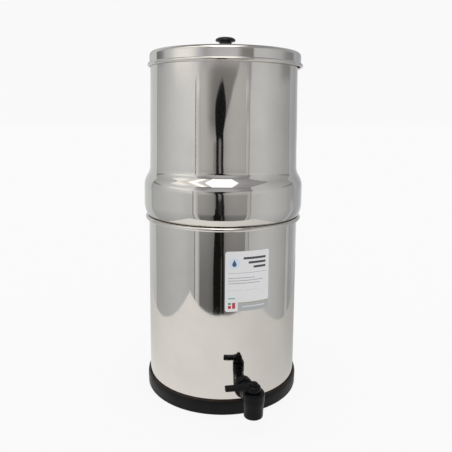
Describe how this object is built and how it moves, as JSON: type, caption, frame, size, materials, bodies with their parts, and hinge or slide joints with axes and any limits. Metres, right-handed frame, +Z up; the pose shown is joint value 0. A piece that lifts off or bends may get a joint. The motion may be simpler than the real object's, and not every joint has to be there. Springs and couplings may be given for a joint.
{
  "type": "gravity water filter",
  "caption": "Tall gravity water filter: a bulged upper steel chamber nests on a lower one, with a lift-off lid, ceramic candles inside and a black turn-lever tap near the base.",
  "frame": {"origin": "centre of the base ring's underside, on the vessel's axis", "axes": "+Z up along the vessel's axis, the tap and the label face -Y, +X to the right as seen from the front"},
  "size_m": [0.2288, 0.2781, 0.5067],
  "materials": {
    "polished_steel": "mirror polished",
    "black_plastic": "satin moulded",
    "base_plastic": "satin moulded",
    "rubber": "matt",
    "fastener_steel": "bright",
    "ceramic": "matt, fine pored",
    "carbon": "matt, granular",
    "white_plastic": "satin moulded",
    "label_paper": "coated paper"
  },
  "bodies": {
    "lower": {"lower_chamber_wall": "polished_steel", "lower_chamber_floor": "polished_steel", "base_ring": "base_plastic", "front_label": "label_paper", "tap_body": "black_plastic", "tap_outer_washer": "rubber", "tap_inner_washer": "rubber", "tap_back_nut": "black_plastic", "tap_retaining_ring": "black_plastic"},
    "tap_handle": {"tap_plug": "black_plastic", "tap_plug_o_rings": "rubber", "tap_lever": "black_plastic", "tap_lever_screw": "fastener_steel", "tap_lever_cap": "black_plastic"},
    "upper": {"upper_chamber_wall": "polished_steel", "upper_chamber_floor": "polished_steel", "left_candle_shell": "ceramic", "left_candle_core": "carbon", "left_candle_base": "white_plastic", "right_candle_shell": "ceramic", "right_candle_core": "carbon", "right_candle_base": "white_plastic", "candle_washers": "rubber", "candle_wing_nuts": "white_plastic", "blanking_plugs": "white_plastic", "blanking_washers": "rubber", "blanking_nuts": "white_plastic"},
    "lid": {"lid_top": "polished_steel", "lid_skirt": "polished_steel", "lid_knob": "black_plastic", "lid_knob_washer": "fastener_steel", "lid_knob_screw": "fastener_steel"}
  },
  "joints": [
    {"name": "tap_turn", "type": "hinge", "parent": "lower", "child": "tap_handle", "pos_m": [0, -0.1497, 0.0532], "axis": [0, 0, 1], "range_deg": [0, 90]},
    {"name": "upper_lift", "type": "slide", "parent": "lower", "child": "upper", "axis": [0, 0, 1], "range_m": [0, 0.08]},
    {"name": "lid_lift", "type": "slide", "parent": "upper", "child": "lid", "axis": [0, 0, 1], "range_m": [0, 0.06]}
  ]
}
